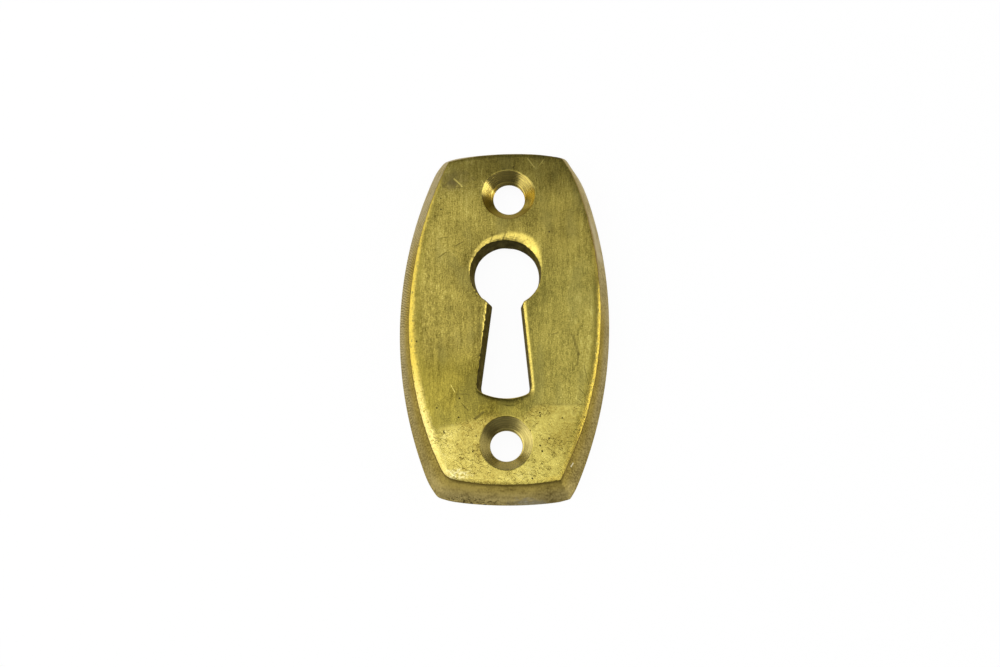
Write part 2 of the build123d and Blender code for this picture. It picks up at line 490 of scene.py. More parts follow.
bow_turn = np.arctan2(key_x, key_y - bow_y)
at_top = on_bow * np.exp(-((bow_turn - WORN_AT) / np.where(bow_turn < WORN_AT, *WORN_SPREAD)) ** 2)
bow_left = on_bow * smooth(-key_x, 0, 2) * smooth(key_y, bow_y - 1, bow_y + 1)
far_left = bow_left * smooth(-key_x, 3.0, 3.9)
neck_left = slot_left * smooth(key_y, -6, 0)
lip_reach = (0.16 + 1.40 * at_top + 0.32 * slot_right + 0.26 * bow_left - 0.10 * far_left
             + 0.20 * neck_left + 1.00 * at_foot)
lip_drop = (0.10 + 0.36 * at_top + 0.11 * slot_right + 0.03 * bow_left + 0.07 * far_left
            + 0.10 * neck_left + 0.28 * at_foot)
lip_lean = 0.45 - 0.35 * at_foot + 0.35 * np.maximum(bow_left * (1 - at_top), neck_left)
print("lip:", lip_reach.min().round(2), "to", lip_reach.max().round(2), "mm of the face")

# %% Ring round the keyhole
WALL_LEAN = 0.26               # how far the wall closes in between the path and the back
TOP_LEAN = 0.12                # it closes in this much more at the top of the bow
LIP_SHARES = np.append([0, 0.03], np.linspace(0, 1, 8)[1:])
WALL_ROWS, FACE_ROWS = 3, 32
CROWDING = 1.15                # power that crowds the face's rows towards the lip

lip_face = lifted(mouth + outward * lip_reach[:, None])
lip_corner = lifted(mouth + outward * (lip_reach * lip_lean)[:, None])
lip_wall = lifted(mouth) - np.c_[0 * outward, lip_drop]
wall_lean = WALL_LEAN + TOP_LEAN * smooth(key_y, bow_y + 2, bow_y + BOW_R)
wall_back = at_height(keyhole - outward * wall_lean[:, None], HOLLOW_DEPTH)
wall_rows = wall_back + (lip_wall - wall_back) * np.linspace(0, 1, WALL_ROWS + 1)[:-1, None, None]
lip_rows = bezier(lip_wall, lip_corner, lip_face, LIP_SHARES)
face_shares = np.linspace(0, 1, FACE_ROWS + 1)[1:, None, None] ** CROWDING
face_plan = lip_face[:, :2] + (key_border[:, :2] - lip_face[:, :2]) * face_shares
key_ring = np.concatenate([wall_rows, lip_rows, lifted(face_plan[:-1]), key_border[None]])
print("keyhole ring rows and columns:", key_ring.shape[:2])

# %% [markdown]
# ## Countersunk screw holes
#
# Each screw hole is a short land with a cone above it, cut by a drill after casting. A drill in a hand
# wanders, so the land leans a little, the cone's foot has slipped off the hole and its rim is off
# centre and not quite round. Points round the hole sit at the same angle as their partners on the
# ring's border, and the cone climbs until it meets the face at whatever height the face has there.

# %% Rings round the screw holes
screws = next(mount for mount in frame["record"]["mounts"] if mount["name"] == "screw_holes")
HOLE_R = screws["dims"]["hole_r_mm"]
HOLE_REACH = screws["dims"]["spacing_y_mm"] / 2
HOLE_X = screws["pos_m"][0] / MM
DRILL_WORN = 0.02              # the holes came out a hair wide
CHATTER = 0.04                 # how far the rim wanders from a circle
TOP_HOLE = dict(centre=(HOLE_X + 0.06, HOLE_REACH), skew=0.11, slip=-0.02, rim_slip=(-0.10, 0.17),
                rim_r=(3.36, 3.34), depth=1.55, ease=0.03)
FOOT_HOLE = dict(centre=(HOLE_X + 0.12, -HOLE_REACH), skew=0.0, slip=-0.16, rim_slip=(0.0, -0.07),
                 rim_r=(3.28, 3.40), depth=1.20, ease=0.07)
CONE_SHARES = np.append(np.linspace(0, 0.9, 11), 0.985)
HOLE_FACE_SHARES = np.append([0.004], np.linspace(0, 1, 31)[1:] ** 1.2)


def screw_ring(border, centre, skew, slip, rim_slip, rim_r, depth, ease):
    """Ring round a screw hole: land, cone, eased rim and face. The land leans from the skew at the back
    to the slip in front, where the cone begins. The rim is an oval about its own slip, and the ease is
    its rounding. Points that belong together share an angle about the rim's centre."""
    hole_r = HOLE_R + DRILL_WORN
    rim_centre = np.add(centre, rim_slip)
    ray = unit(border[:, :2] - rim_centre)
    back = at_height(np.add(centre, (0, skew)) + ray * hole_r, HOLLOW_DEPTH)
    land = at_height(np.add(centre, (0, slip)) + ray * hole_r, height - depth)
    wander = (ray ** 2 @ rim_r)[:, None] + CHATTER * waves(3 * ray[:, :1], 3 * ray[:, 1:], 3, seed=51)
    rim_line = lifted(rim_centre + ray * wander)
    start = rim_line + unit(land - rim_line) * ease
    stop = lifted(rim_centre + ray * (wander + ease))
    cone = land + (start - land) * CONE_SHARES[:, None, None]
    rounding = bezier(start, rim_line, stop, (0, 0.5, 1))
    face = lifted(stop[:, :2] + (border[:, :2] - stop[:, :2]) * HOLE_FACE_SHARES[:, None, None])
    return np.concatenate([back[None], cone, rounding, face[:-1], border[None]])


top_ring = screw_ring(top_border, **TOP_HOLE)
foot_ring = screw_ring(foot_border, **FOOT_HOLE)
print("screw rings:", top_ring.shape[:2], foot_ring.shape[:2])

# %% [markdown]
# ## The hollow at the back
#
# Behind, the same three rings run the other way: from the border of the hollow's floor in to the back
# edges of the openings. Their first and last rows are rows that other grids already have, so the skin
# closes. The floor in between keeps the bumps of the sand it was cast in.

# %% Floor of the hollow
BACK_ROWS = 6
SAND_HEIGHT = 0.03


def back_ring(border, opening):
    """Rows on straight lines from the hollow's border to an opening's back edge. Sand bumps are added
    to their height, times the sine of the share of the way, which is nothing at both ends."""
    t = np.linspace(0, 1, BACK_ROWS)[:, None, None]
    points = border + (opening - border) * t
    bumps = SAND_HEIGHT * waves(points[..., 0], points[..., 1], 1.6, seed=21)
    points[..., 2] += bumps * np.sin(np.pi * t[..., 0])
    return points


back_borders = ring_borders(hollow_border, on_face=False)
back_rings = [back_ring(border, ring[0])
              for border, ring in zip(back_borders, (top_ring, key_ring, foot_ring))]
print("hollow floor:", round(HOLLOW_DEPTH, 3), "mm above the back plane")

# %% [markdown]
# ## One closed skin
#
# The grids are joined into one mesh. Joining objects and merging by distance would do it too, but here
# rows that two grids share hold the same points, so rounding the coordinates and keeping each point
# once welds them exactly, with no distance to choose.

# %% Weld the grids
WELD = 1e4                     # points closer than a ten-thousandth of a millimetre are one
grids = dict(band=band, keyhole=key_ring, top=top_ring, foot=foot_ring,
             back_top=back_rings[0], back_keyhole=back_rings[1], back_foot=back_rings[2])


def quads(rows, columns):
    """Corner numbers of the quads of a grid whose rows are closed loops, facing out of the metal."""
    row, column = np.meshgrid(np.arange(rows - 1), np.arange(columns), indexing="ij")
    after = (column + 1) % columns
    corners = [row * columns + column, (row + 1) * columns + column,
               (row + 1) * columns + after, row * columns + after]
    return np.stack(corners, axis=-1).reshape(-1, 4)


all_points = np.concatenate([grid.reshape(-1, 3) for grid in grids.values()])
starts = np.cumsum([0] + [grid.shape[0] * grid.shape[1] for grid in grids.values()])
all_quads = np.concatenate([quads(*grid.shape[:2]) + start for grid, start in zip(grids.values(), starts)])
_, keep, renumber = np.unique(np.round(all_points * WELD).astype(np.int64), axis=0,
                              return_index=True, return_inverse=True)
skin_points = all_points[keep]
skin_quads = renumber.reshape(-1)[all_quads]
print("welded:", len(all_points), "points to", len(skin_points))

# %% [markdown]
# ## Masks for the finish
#
# Wear, dirt and painted light and shade follow the shape, so the mesh carries soft masks that the
# finish will read. Painting them by hand would work, but the grids already know where everything is.
# Rows tell the bevel, lip, cone, wall and back apart, how far along the rim a point is and how far down
# the bevel. Distances tell where the cast foot begins, how near the edge is, how rubbed and highlighted
# it is, and where painted shade falls round the keyhole.

# %% Masks from the rows
edge_stop = len(edge_rows)
bevel_stop = edge_stop + len(bevel_rows)
lip_start, lip_stop = WALL_ROWS, WALL_ROWS + len(lip_rows)
PAINTED_GLINT_ROWS = 4                 # rows of the lip at the foot of the slot that are painted gold as a glint


def rows_of(name, start, stop):
    """One on the rows from start up to stop of the named grid, and zero on its other rows."""
    marked = np.zeros(grids[name].shape[:2])
    marked[start:stop] = 1
    return marked


def on_skin(**parts):
    """Value of each point of the skin: the part given for its grid, or zero where none is given."""
    values = [parts.get(name, np.zeros(grid.shape[:2])) for name, grid in grids.items()]
    return np.concatenate([part.reshape(-1) for part in values])[keep]


lip_ramp = rows_of("keyhole", 0, 0)
lip_ramp[lip_start + 1:lip_stop] = 1 - LIP_SHARES[1:, None] ** 2
lip_rubbed = np.clip(at_top * 1.3 + slot_right + bow_left + neck_left, 0, 1)
# Painted glint: the lip's first rows at the slot's foot take the lip's gold.
painted_foot_glint = rows_of("keyhole", lip_start, lip_start + PAINTED_GLINT_ROWS) * at_foot
drop_share = rows_of("band", bevel_stop, len(band))
drop_share[edge_stop:bevel_stop] = BEVEL_SHARES[:, None]
girth = np.concatenate([[0], np.cumsum(np.linalg.norm(np.diff(rim, axis=0), axis=1))])
layers = {
    "bevel": on_skin(band=rows_of("band", edge_stop - 1, bevel_stop + 3)),
    # The lip mask holds the lip's wear and the painted glint at the slot's foot.
    "lip": on_skin(keyhole=np.maximum(lip_ramp * lip_rubbed, painted_foot_glint)),
    "cone": on_skin(**{name: rows_of(name, 1, len(CONE_SHARES) + 1) for name in ("top", "foot")}),
    "wall": on_skin(keyhole=rows_of("keyhole", 0, lip_start + 1),
                    top=rows_of("top", 0, 1), foot=rows_of("foot", 0, 1)),
    "back": on_skin(band=rows_of("band", bevel_stop + 2, len(band)),
                    **{name: rows_of(name, 0, BACK_ROWS) for name in grids if name.startswith("back")}),
    "along": on_skin(band=np.broadcast_to(girth, band.shape[:2])),
    "drop": on_skin(band=drop_share)}
print("masks from rows:", ", ".join(layers))

# %% Masks from distances
EDGE_RUN_MOST = 4              # the edge's own measure stops counting here
PARTS = 80                     # distances are worked out in this many parts, to save memory


def soft(distance, reach):
    """Falls from one at no distance to near zero past the reach: e to the minus the square of the
    distance over the reach."""
    return np.exp(-(distance / reach) ** 2)


def nearest_on(loop, spots):
    """Number of the loop's point nearest to each spot, and how far away it is."""
    numbers, distances = [], []
    for part in np.array_split(spots, PARTS):
        away = np.hypot(*(part[:, None] - loop).transpose(2, 0, 1))
        numbers.append(away.argmin(axis=1))
        distances.append(away.min(axis=1))
    return np.concatenate(numbers), np.concatenate(distances)


skin_plan = skin_points[:, :2]
cast_blur = 0.25 + 0.35 * smooth(-skin_plan[:, 0], 3, 6) + 0.9 * soft(skin_plan[:, 0] + 0.5, 3)
layers["cast"] = smooth(below_foot_line(*skin_plan.T) / cast_blur, -1, 1)
# How rubbed each side of the edge is, which also places its painted highlight; the term for the ends is a
# painted highlight on the top end near its right corner.
left_rubbed = stepped(-edge_y, 0, (0.6, -20.5, -15), (0.4, -13, -6)) * stepped(-edge_y, 1, (-0.7, 15, 19))
right_rubbed = stepped(-edge_y, 0, (0.5, -12, -8), (0.5, -6, -2)) * stepped(-edge_y, 1, (-0.5, 13, 17))
end_highlight = 0.7 * smooth(edge_x, 4.6, 6.0) * smooth(edge_y, 0, 5)
edge_wear_and_highlight = on_left * left_rubbed + on_right * right_rubbed + on_end * end_highlight
shine_width = on_left * left_reach + on_right * 0.42 + on_end * (0.4 + 0.4 * to_right)
crease_number, from_crease = nearest_on(crease[:, :2], skin_plan)
layers["edge_run"] = np.minimum(from_crease / shine_width[crease_number], EDGE_RUN_MOST)
layers["edge_wear_and_highlight"] = edge_wear_and_highlight[crease_number]
mouth_number, from_mouth = nearest_on(mouth, skin_plan)
foot_share = at_foot[mouth_number]
# Painted shade round the keyhole, deepest and widest below the slot's foot.
layers["keyhole_shade"] = soft(from_mouth, 1.7 + 1.3 * foot_share) * (0.6 + 0.4 * foot_share)
print("all masks:", ", ".join(layers))

# %% [markdown]
# ## The plate in Blender
#
# One call puts the points and quads into a mesh, and foreach_set writes each mask in one go. Smooth
# shading rounds the rows into one surface, and edges that bend more than a set angle stay sharp, as
# the creases of the real plate do. The plate is then hung under the root body, and the imported part
# is hidden.

# %% Put the skin into Blender
SHARP_ANGLE = 24               # degrees
mesh = bpy.data.meshes.new("brass_plate")
mesh.from_pydata(skin_points * MM, [], skin_quads)
for name, values in layers.items():
    mesh.attributes.new(name, "FLOAT", "POINT").data.foreach_set("value", values.astype(np.float32))
mesh.shade_smooth()
mesh.set_sharp_from_angle(angle=math.radians(SHARP_ANGLE))
mesh.validate()
plate = bpy.data.objects.new("brass_plate", mesh)
bpy.context.scene.collection.objects.link(plate)
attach(plate, "root")
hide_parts(NODE)
print("skin:", len(mesh.vertices), "points,", len(mesh.polygons), "quads")

# %% [markdown]
# ## Tools for the finish
#
# Brass dulls to olive, and every rub brings some gold back. The finish is one metal whose colour,
# roughness and relief are mixed from soft noise. It could be wired by hand in the node editor, but a
# recipe this long is easier to read as sums. These few helpers make its nodes.

# %% Helpers that add nodes
brass = bpy.data.materials.new("patinated_brass")
brass.use_nodes = True
nodes, links = brass.node_tree.nodes, brass.node_tree.links


def put(socket, value):
    """Link another node's socket into this one, or set it to a plain value."""
    if isinstance(value, bpy.types.NodeSocket):
        links.new(value, socket)
    else:
        socket.default_value = value


def filled(kind, *values):
    """New node of a kind whose sockets take the values in order."""
    made = nodes.new(kind)
    for socket, value in zip(made.inputs, values):
        put(socket, value)
    return made


def calc(operation, *values):
    """Result of one sum on sockets or numbers."""
    made = filled("ShaderNodeMath", *values)
    made.operation = operation
    return made.outputs[0]


def vector(operation, *values):
    """Result of one sum on vectors. Lengths, distances and dot products come out as numbers."""
    made = filled("ShaderNodeVectorMath", *values)
    made.operation = operation
    return made.outputs[1 if operation in ("LENGTH", "DOT_PRODUCT", "DISTANCE") else 0]


print("helpers add to the material", brass.name)

# %% Helpers that add up and multiply
def total(*values):
    """All values added up."""
    result = values[0]
    for value in values[1:]:
        result = calc("ADD", result, value)
    return result


def times(*values):
    """All values multiplied."""
    result = values[0]
    for value in values[1:]:
        result = calc("MULTIPLY", result, value)
    return result


print("sums and products take any number of values")

# %% Helpers that mix
def between(value, low, high):
    """Smooth step from zero at low to one at high; it falls instead where low is above high."""
    first, last = (1.0, 0.0) if low > high else (0.0, 1.0)
    made = filled("ShaderNodeMapRange", value, min(low, high), max(low, high), first, last)
    made.interpolation_type = "SMOOTHSTEP"
    return made.outputs[0]


def shift(share, first, second):
    """Number that goes from first to second as the share goes from zero to one."""
    made = nodes.new("ShaderNodeMix")
    for place, value in ((0, share), (2, first), (3, second)):
        put(made.inputs[place], value)
    return made.outputs[0]


def tint(share, first, second):
    """Colour that goes from first to second as the share goes from zero to one."""
    made = nodes.new("ShaderNodeMix")
    made.data_type = "RGBA"
    for place, value in ((0, share), (6, first), (7, second)):
        put(made.inputs[place], (*value, 1) if isinstance(value, tuple) else value)
    return made.outputs[2]


def graded(value, ramp_stops):
    """Colour read off a ramp of stops, each a place from zero to one and its colour."""
    made = nodes.new("ShaderNodeValToRGB")
    put(made.inputs[0], value)
    elements = made.color_ramp.elements
    while len(elements) < len(ramp_stops):
        elements.new(0.5)
    for element, (position, stop_colour) in zip(elements, ramp_stops):
        element.position = position
        element.color = (*stop_colour, 1)
    return made.outputs[0]


print("four ways to mix are ready")

# %% [markdown]
# ## Places and noise
#
# All noise is read in millimetres on the plate itself, so a size in the code is the size of the mark.
# Object coordinates stay with the plate when it moves, which keeps every mark where it is.

# %% Helpers that read a place
place_mm = vector("MULTIPLY", nodes.new("ShaderNodeTexCoord").outputs["Object"], (1000, 1000, 1000))
plan_mm = vector("MULTIPLY", place_mm, (1, 1, 0))
split = nodes.new("ShaderNodeSeparateXYZ")
put(split.inputs[0], place_mm)
x_mm, y_mm, z_mm = split.outputs


def mask(name):
    """Soft mask that the mesh carries."""
    made = nodes.new("ShaderNodeAttribute")
    made.attribute_name = name
    return made.outputs["Fac"]


def noise(size, detail=2.0, spot=place_mm):
    """Soft noise from zero to one, about a half, with blobs of the given size in mm along each axis."""
    made = nodes.new("ShaderNodeTexNoise")
    across = size if isinstance(size, tuple) else (size, size, size)
    put(made.inputs["Vector"], vector("DIVIDE", spot, across))
    put(made.inputs["Scale"], 1.0)
    put(made.inputs["Detail"], detail)
    return made.outputs[0]


def swing(value, reach):
    """Noise moved to swing about zero by the given reach."""
    return calc("MULTIPLY", calc("SUBTRACT", value, 0.5), reach)


print("places: nodes so far", len(nodes))

# %% [markdown]
# ## Belt-ground face
#
# The belt left fine lines along the plate. They are noise stretched far along y and squeezed along x,
# which is all that a brushed metal is. Slower noise lets the patina drift, and finer noise breaks the
# lines up into the grain that handling leaves. A few straight hairs cross them at odd angles.

# %% Brush lines and patina
LINE_SIZE = (0.11, 0.7, 0.6)
BROAD_LINE_SIZE = (0.4, 4.0, 1.5)
HAIR_SIZE = (0.06, 1.3, 1.0)
HAIR_FADE = 0.08               # step of the noise over which a hair fades in


def hairlines(degrees, kept):
    """Sparse straight scratches at an angle to the plate: noise stretched along that line, cut off so
    that only its highest crests are left."""
    turned = nodes.new("ShaderNodeVectorRotate")
    turned.rotation_type = "Z_AXIS"
    put(turned.inputs["Vector"], place_mm)
    put(turned.inputs["Angle"], math.radians(degrees))
    return between(noise(HAIR_SIZE, 1, turned.outputs[0]), kept, kept + HAIR_FADE)


drift = noise(7.0, 1)
patches = noise(2.6, 2)
mottle = noise(1.1, 2)
speckle = noise(0.42, 2)
grain = noise(0.17, 2)
lines = noise(LINE_SIZE, 2)
broad_lines = noise(BROAD_LINE_SIZE, 2)
dark_hairs = total(hairlines(55, 0.66), hairlines(-40, 0.67), hairlines(8, 0.67))
light_hairs = total(hairlines(-12, 0.68), hairlines(30, 0.69))
slow_tone = total(0.48, swing(drift, 0.6), swing(patches, 0.45), swing(broad_lines, 0.58))
fine_tone = total(swing(mottle, 0.12), swing(speckle, 0.22), swing(grain, 1.0), swing(lines, 0.88),
                  times(dark_hairs, -0.25), times(light_hairs, 0.22))
ground_relief = total(times(lines, 0.006), times(grain, 0.005), times(dark_hairs, -0.006))
print("brush lines:", LINE_SIZE[0], "mm wide,", LINE_SIZE[1], "mm long")

# %% [markdown]
# ## Scratches
#
# Keys and tools left scratches that are too singular to leave to chance, some dark with dirt and some
# bare. They could be painted on a texture, but a formula stays sharp at any size. A scratch is a line
# piece: how far a point lies aside of it, or past its ends, whichever is more, tells how much of the
# mark is there.

# %% Scratches
# Start and end on the plan, width and, where it isn't one, depth
DARK_SCRATCHES = [
    ((-6.2, 17.2), (-2.7, 17.3), 0.08), ((8.5, -2.2), (9.2, -4.6), 0.32),
    ((9.2, -4.5), (9.1, -6.0), 0.18), ((9.9, -6.1), (10.5, -8.7), 0.08),
    ((-8.2, 7.8), (-7.3, 8.5), 0.12, 1.5), ((-6.2, 9.3), (-5.2, 9.9), 0.12, 1.4),
    ((-8.2, 10.3), (-7.1, 10.5), 0.10), ((5.9, -2.2), (6.6, -1.9), 0.14),
    ((0.1, 11.2), (-0.4, 9.8), 0.16, 1.7), ((-1.5, 10.8), (-1.8, 10.0), 0.10, 1.5),
    ((9.4, -9.2), (10.0, -9.9), 0.09), ((9.2, -10.4), (9.7, -10.8), 0.09),
    ((-3.3, -13.1), (-2.4, -12.3), 0.24, 1.8), ((-5.0, -11.2), (-4.2, -12.1), 0.11),
    ((-5.7, -10.0), (-4.3, -10.0), 0.09)]
LIGHT_SCRATCHES = [
    ((-6.5, 18.3), (-5.5, 17.3), 0.14), ((2.7, 21.3), (3.5, 20.1), 0.13),
    ((4.7, 21.2), (4.2, 20.4), 0.07), ((-3.05, 18.1), (-2.65, 17.5), 0.08),
    ((-6.4, -8.9), (-5.9, -9.8), 0.06)]


def scratch(start, end, width, depth=1.0):
    """The given depth along the line piece from start to end on the plan, fading out at the width."""
    span = np.subtract(end, start)
    half_length = np.linalg.norm(span) / 2
    middle = np.add(start, end) / 2
    along = span / (2 * half_length)
    across = np.array([-along[1], along[0]])
    run_along = total(vector("DOT_PRODUCT", plan_mm, (*along, 0)), -float(along @ middle))
    run_across = total(vector("DOT_PRODUCT", plan_mm, (*across, 0)), -float(across @ middle))
    past_end = total(calc("ABSOLUTE", run_along), -half_length)
    aside = calc("MAXIMUM", calc("ABSOLUTE", run_across), past_end)
    return times(between(aside, width, 0.2 * width), depth)


dark_marks = total(*(scratch(*mark) for mark in DARK_SCRATCHES))
light_marks = times(total(*(scratch(*mark) for mark in LIGHT_SCRATCHES)),
                    between(noise(0.3, 2), 0.30, 0.42))
print("scratches:", len(DARK_SCRATCHES), "dark,", len(LIGHT_SCRATCHES), "light")

# %% [markdown]
# ## Stains and tarnish
#
# Old damp left dull stains near the top left corner and wide soft patches of tarnish, and a cream spot
# at the lower left is a painted highlight. One big noise would put such marks anywhere, so each has its
# own centre and reach.
# A stain is an oval whose edge noise has eaten, and a patch of tarnish is an oval that fades slowly.

# %% Stains and tarnish
# Centre and reach on the plan and, for tarnish, its depth
DULL_STAINS = ((-6.6, 18.4), (2.6, 1.3)), ((-6.9, 17.4), (1.1, 0.8))
# A cream spot at the lower left, painted as a highlight.
CREAM_HIGHLIGHT_SPOT = ((-5.5, -20.1), (1.9, 0.65))
# The calm patches of tarnish also hide the grain below them
CALM_TARNISH = [((7.5, 13.0), (4.5, 8.0), 0.14), ((-7.5, -8.0), (4.0, 5.0), 0.20)]
TARNISH = [((0.5, 14.0), (5.0, 2.8), 0.17), ((2.0, -7.0), (12.0, 5.0), 0.09),
           ((8.5, -16.5), (4.0, 5.0), 0.22), ((7.5, -6.0), (4.5, 6.0), 0.08)]


def oval(centre, reach):
    """Distance from a centre on the plan, measured so that it is one all along the oval of that reach."""
    return vector("LENGTH", vector("DIVIDE", vector("SUBTRACT", plan_mm, (*centre, 0)), (*reach, 1)))


def stain(centre, reach):
    """Soft oval about a centre on the plan, with a ragged edge."""
    return between(total(oval(centre, reach), swing(noise(0.7, 3), 2.2)), 1.3, 0.4)


def shade(centre, reach, depth):
    """Wide soft oval, as deep as given in the middle: a patch of tarnish, or of painted shade on the
    bevel.
    """
    return times(between(oval(centre, reach), 1.3, 0.2), depth)


dull = total(*(stain(*spot) for spot in DULL_STAINS))
cream_highlight = times(stain(*CREAM_HIGHLIGHT_SPOT), between(noise(0.33, 3), 0.36, 0.64))
calmed = total(*(shade(*spot) for spot in CALM_TARNISH))
tarnish = total(calmed, *(shade(*spot) for spot in TARNISH))
# The count of stains below includes the painted cream highlight.
print("stains:", len(DULL_STAINS) + 1, "and patches of tarnish:", len(CALM_TARNISH) + len(TARNISH))

# %% [markdown]
# ## Cast foot
#
# Below the belt's line the skin is as it left the sand: brighter, pitted and crossed by little worm
# lines. A pit is a cell of a Voronoi pattern, kept only where the cell's own random number is low. A
# worm line is where a soft noise passes through one half, the way a contour line runs on a map.

# %% Pits and worm lines
PIT_CELL, PIT_WIDTH, PIT_SHARE = 0.8, 0.15, 0.16               # on the cast foot
FEW_PIT_CELL, FEW_PIT_WIDTH, FEW_PIT_SHARE = 0.9, 0.14, 0.12   # all over the face


def pits(size, wide, kept):
    """Round pits: one in each cell of the given size, of the given width, in a share of the cells."""
    made = nodes.new("ShaderNodeTexVoronoi")
    put(made.inputs["Vector"], vector("DIVIDE", place_mm, (size, size, size)))
    put(made.inputs["Scale"], 1.0)
    lot = nodes.new("ShaderNodeSeparateColor")
    put(lot.inputs[0], made.outputs["Color"])
    chosen = calc("LESS_THAN", lot.outputs[0], kept)
    return times(chosen, between(made.outputs["Distance"], wide / size, 0.35 * wide / size))


def contour(value, half_width):
    """One along the line where a noise passes through a half, fading over the given half width."""
    return between(calc("ABSOLUTE", calc("SUBTRACT", value, 0.5)), half_width, 0.2 * half_width)


cast = mask("cast")
cast_blotch = noise(0.75, 3)
cast_grain = noise(0.24, 3)
worms = times(contour(noise(0.8, 3), 0.014), between(noise(2.2, 1), 0.42, 0.52))
cast_pits = pits(PIT_CELL, PIT_WIDTH, PIT_SHARE)
few_pits = pits(FEW_PIT_CELL, FEW_PIT_WIDTH, FEW_PIT_SHARE)
# Painted light: the term that grows towards the left makes the cast foot brighter there.
cast_tone = total(0.52, times(between(x_mm, -2, -8), 0.21), swing(drift, 0.5), swing(patches, 0.4),
                  swing(cast_blotch, 0.40), swing(cast_grain, 0.65), times(worms, -0.34))
cast_relief = total(times(cast_blotch, 0.03), times(cast_grain, 0.02), times(worms, -0.02))
pitted = times(calc("MAXIMUM", few_pits, times(cast, cast_pits)),
               calc("SUBTRACT", 1, mask("bevel")), calc("SUBTRACT", 1, mask("cone")))
print("cast foot: pits in", PIT_SHARE, "of its", PIT_CELL, "mm cells")

# %% [markdown]
# ## Filed bevel
#
# A coarse file crossed the bevel and left slanting ridges about a third of a millimetre apart. The mesh
# carries each point's distance along the rim, so a sine wave of that distance, leaned with height and
# pushed about by noise, gives ridges that follow the edge all the way round. They show on the left
# side, and elsewhere almost none are left.

# %% File ridges
RIDGE = 0.34                   # spacing in mm
RIDGE_SLANT = -0.52            # how far a ridge leans along the rim per mm of height
bevel_drop = mask("drop")
ridge_run = total(mask("along"), times(z_mm, RIDGE_SLANT), swing(noise(0.8, 1), 0.55))
ridge_wave = calc("SINE", times(ridge_run, 2 * math.pi / RIDGE))
left_side = times(between(x_mm, -4, -7), between(y_mm, -19, -8))
upper = between(y_mm, -5, 3)
ridge_depth = shift(upper, times(between(bevel_drop, 0.35, 0.75), 0.5), between(bevel_drop, 0.0, 0.15))
ridges = times(ridge_wave, shift(left_side, 0.06, 1.0), ridge_depth)
print("file ridges every", RIDGE, "mm")

# %% [markdown]
# ## Marks on the bevel
#
# The rest of the bevel is grainy rather than ridged. It is lighter at the foot end, with dark specks, a
# grey bloom, painted shade along its bottom edge and towards its right corner, and one small nick near
# the foot's right corner. Grain is plain noise, stretched along the height. The marks use the helpers
# for scratches and stains again.

# %% Tone of the bevel and its marks
GREY_BLOOM = ((3.6, -22.9), (2.8, 0.45))                        # centre and reach
# The next is painted shade on the foot bevel towards its right corner.
FOOT_CORNER_SHADE = ((6.2, -22.2), (1.8, 0.9), 0.20)                       # the same and its depth
BEVEL_NICK = ((8.35, -18.75), (8.60, -18.30), 0.10, 0.55)       # start, end, width and depth
bevel_grain = noise((0.20, 0.20, 0.60), 3)
at_foot_end = between(y_mm, -19.8, -21.0)
bevel_tone = total(0.54, times(between(y_mm, -18, 6), 0.06), times(between(x_mm, -8, 8), -0.09),
                   times(between(x_mm, 4, 8), between(y_mm, 3, -4), -0.09),
                   swing(noise(2.5, 2), 0.7), times(ridges, 0.55),
                   swing(bevel_grain, shift(at_foot_end, 1.9, 1.2)), times(shade(*FOOT_CORNER_SHADE), -1),
                   # At the foot end the bevel is lighter, and darker along its bottom edge as painted
                   # shade.
                   times(at_foot_end, total(0.26, swing(noise((1.2, 0.5, 0.5), 2), 1.4),
                                            times(between(bevel_drop, 0.7, 1.0), -0.25))))
bevel_relief = total(times(ridges, 0.012), times(bevel_grain, 0.025))
specks = times(between(noise(0.25, 2), 0.52, 0.60), between(bevel_drop, 0.45, 0.95), at_foot_end,
               between(x_mm, 1.0, -1.5), between(x_mm, -7.5, -5.5))
bevel_nick = scratch(*BEVEL_NICK)
bloom = times(stain(*GREY_BLOOM), at_foot_end)
flecks = times(bloom, between(noise((0.6, 0.2, 0.2), 2), 0.52, 0.62))
# The smudge in this list is painted shade.
print("bevel marks: a smudge, a nick, specks and a bloom at the foot")

# %% [markdown]
# ## Turned countersinks
#
# The countersink bit chattered and left rings. Noise of the distance from the nearer hole's axis alone
# draws them, and a slower noise in its second coordinate breaks them up. Painted shade darkens the top
# cone on its lower side and in a sector towards the upper right, and the foot cone on its left; a
# painted highlight brightens the foot cone below. The direction of a point from the axis tells these
# sides apart.

# %% Rings and dirt of the cones
RING = 0.17                    # spacing in mm
axes = [(*np.add(hole["centre"], hole["rim_slip"]), 0) for hole in (TOP_HOLE, FOOT_HOLE)]
from_axes = [vector("DISTANCE", plan_mm, axis) for axis in axes]
ring_place = nodes.new("ShaderNodeCombineXYZ")
put(ring_place.inputs[0], calc("MINIMUM", *from_axes))
put(ring_place.inputs[1], times(noise(1.2, 1), 0.25))
rings = noise(RING, 2, ring_place.outputs[0])
# Painted shade and painted highlight on the cones, standing in for the reflections of their turned faces.
top_cone_low_shade = between(vector("DOT_PRODUCT", vector("SUBTRACT", plan_mm, axes[0]), (0.3, 1, 0)), -0.3, -1.3)
top_ray = vector("NORMALIZE", vector("SUBTRACT", plan_mm, axes[0]))
top_cone_shaded_sector = times(between(vector("DOT_PRODUCT", top_ray, (0.6, 0.8, 0)), 0.74, 0.96), 0.45)
top_cone_shade = times(calc("MAXIMUM", top_cone_low_shade, top_cone_shaded_sector), between(y_mm, 5, 8))
foot_ray = vector("NORMALIZE", vector("SUBTRACT", plan_mm, axes[1]))
foot_cone_left_shade = times(between(vector("DOT_PRODUCT", foot_ray, (-1, 0.1, 0)), 0.35, 0.90),
                  between(y_mm, -5, -8), 0.95)
cone_shade = calc("MAXIMUM", top_cone_shade, foot_cone_left_shade)
foot_cone_highlight = times(between(vector("DOT_PRODUCT", foot_ray, (0.1, -1, 0)), 0.80, 0.98),
                   between(y_mm, -5, -8), 0.8)
print("rings every", RING, "mm about", [np.round(axis[:2], 2).tolist() for axis in axes])
